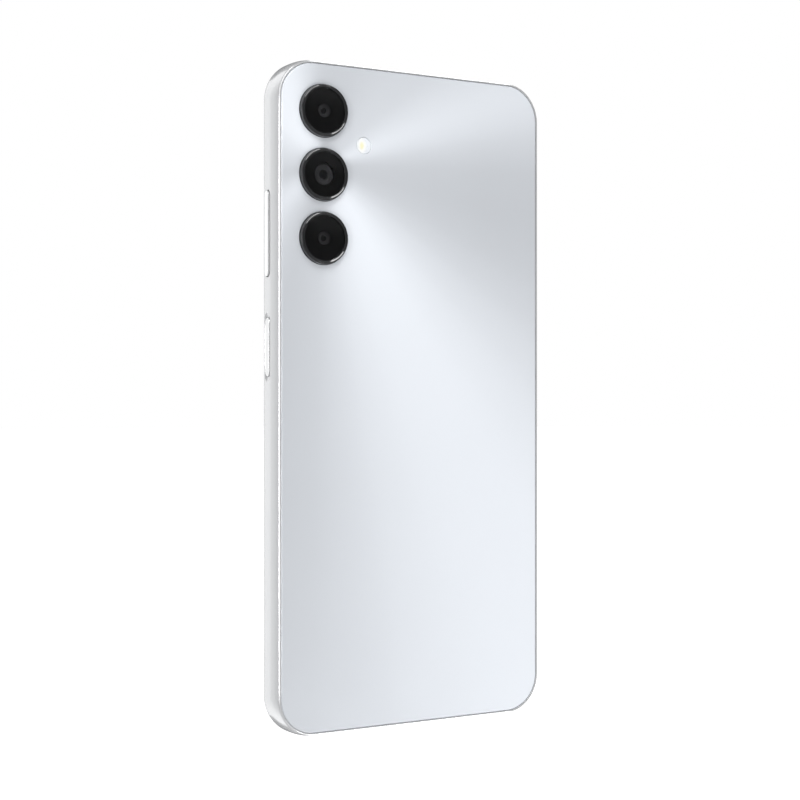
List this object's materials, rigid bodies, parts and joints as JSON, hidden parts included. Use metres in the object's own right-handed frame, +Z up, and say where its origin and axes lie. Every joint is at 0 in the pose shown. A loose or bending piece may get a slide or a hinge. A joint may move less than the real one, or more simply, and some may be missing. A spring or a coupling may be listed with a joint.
{
  "type": "smartphone",
  "caption": "Slab smartphone with a glossy bonded back, three raised camera rings, side keys, card tray, charging port and headphone socket, built as an opened-up assembly.",
  "frame": {"origin": "middle of the bottom edge, half way through the body's thickness", "axes": "+Z up the long side, the screen faces -Y, the back panel faces +Y, the side keys are on +X"},
  "size_m": [0.0781, 0.01, 0.168],
  "materials": {
    "frame_silver": "silver metallic lacquer over moulded plastic, smooth and glossy",
    "panel_silver": "silver pearl print under a clear hard coat, very glossy",
    "key_silver": "silver metallic lacquer",
    "sensor_silver": "silver coating, slightly duller than the key",
    "cover_glass": "polished chemically hardened glass with a black printed border",
    "window_glass": "polished, with a black print behind the rim",
    "lens_glass": "coated optical element",
    "flash_diffuser": "milky translucent",
    "led_yellow": "phosphor",
    "ring_black": "gloss black with a bright cut edge",
    "lcd_black": "dark glass sandwich, switched off",
    "white_film": "white film",
    "black_tape": "black foam tape",
    "black_mesh": "woven dust mesh",
    "black_plastic": "moulded black",
    "inner_plastic": "moulded dark grey, fine grain",
    "tray_plastic": "moulded dark grey",
    "seal_rubber": "soft",
    "cast_alloy": "as cast, fine grain",
    "camera_steel": "plated can",
    "spring_steel": "pressed and plated",
    "shield_steel": "tin plated",
    "board_blue": "solder mask",
    "chip_black": "moulded package",
    "flex_amber": "polyimide film",
    "flex_black": "black polyimide film",
    "cable_black": "extruded jacket",
    "contact_gold": "gold plated",
    "battery_foil": "laminated foil pouch with a dark wrap",
    "motor_weight": "sintered heavy metal",
    "magnet_nickel": "nickel plated",
    "diaphragm_film": "stiff film with a wound coil"
  },
  "bodies": {
    "housing": {"side_frame": "frame_silver", "back_panel": "panel_silver", "back_panel_adhesive": "black_tape", "cover_glass": "cover_glass", "display_adhesive": "black_tape", "lcd_cell": "lcd_black", "backlight_unit": "white_film", "earpiece_mesh": "black_mesh", "mid_chassis": "cast_alloy", "camera_ring_top": "ring_black", "camera_ring_middle": "ring_black", "camera_ring_bottom": "ring_black", "camera_windows": "window_glass", "flash_lens": "flash_diffuser", "flash_led": "led_yellow", "main_camera_sensor": "board_blue", "main_camera_housing": "camera_steel", "auxiliary_cameras": "black_plastic", "front_camera": "black_plastic", "key_domes": "spring_steel", "side_key_flex": "flex_amber", "key_bracket": "spring_steel", "sim_socket": "spring_steel", "sim_eject_rod": "spring_steel", "sim_eject_lever": "spring_steel", "main_board": "board_blue", "shield_cans": "shield_steel", "board_chips": "chip_black", "board_connectors": "black_plastic", "upper_cover": "inner_plastic", "lower_cover": "inner_plastic", "cover_screws": "spring_steel", "battery": "battery_foil", "battery_adhesive": "white_film", "battery_guard_board": "board_blue", "sub_board": "board_blue", "microphones": "shield_steel", "interconnect_flex": "flex_black", "antenna_cable": "cable_black", "usb_shell": "spring_steel", "usb_tongue": "black_plastic", "usb_contacts": "contact_gold", "jack_socket": "black_plastic", "motor_base": "spring_steel", "motor_case": "spring_steel", "speaker_enclosure": "inner_plastic", "speaker_basket": "black_plastic", "speaker_magnet": "magnet_nickel", "speaker_mesh": "black_mesh", "earpiece_receiver": "black_plastic"},
    "volume_rocker": {"volume_key": "key_silver"},
    "power_button": {"power_key": "key_silver", "fingerprint_sensor": "sensor_silver"},
    "sim_tray": {"sim_tray_head": "key_silver", "sim_tray_carrier": "tray_plastic", "sim_tray_seal": "seal_rubber"},
    "vibration_weight": {"motor_rotor": "motor_weight"},
    "focus_barrel": {"main_camera_barrel": "black_plastic", "main_camera_lens": "lens_glass"},
    "loudspeaker_cone": {"speaker_diaphragm": "diaphragm_film"}
  },
  "joints": [
    {"name": "volume_key_rock", "type": "hinge", "parent": "housing", "child": "volume_rocker", "pos_m": [0.03585, -0.0011, 0.12465], "axis": [0, 1, 0], "range_deg": [-1.3, 1.3], "stiffness_Nm_per_rad": 0.5},
    {"name": "power_key_press", "type": "slide", "parent": "housing", "child": "power_button", "axis": [-1, 0, 0], "range_m": [0, 0.0003], "stiffness_N_per_m": 5500},
    {"name": "sim_tray_slide", "type": "slide", "parent": "housing", "child": "sim_tray", "axis": [-1, 0, 0], "range_m": [0, 0.038]},
    {"name": "motor_rotor_spin", "type": "hinge", "parent": "housing", "child": "vibration_weight", "pos_m": [-0.0306, 0, 0.0102], "axis": [0, 1, 0], "continuous": true},
    {"name": "autofocus_slide", "type": "slide", "parent": "housing", "child": "focus_barrel", "axis": [0, 1, 0], "range_m": [0, 0.00025], "stiffness_N_per_m": 300},
    {"name": "loudspeaker_cone_slide", "type": "slide", "parent": "housing", "child": "loudspeaker_cone", "axis": [0, 1, 0], "range_m": [-0.0003, 0.0003], "stiffness_N_per_m": 1000}
  ]
}
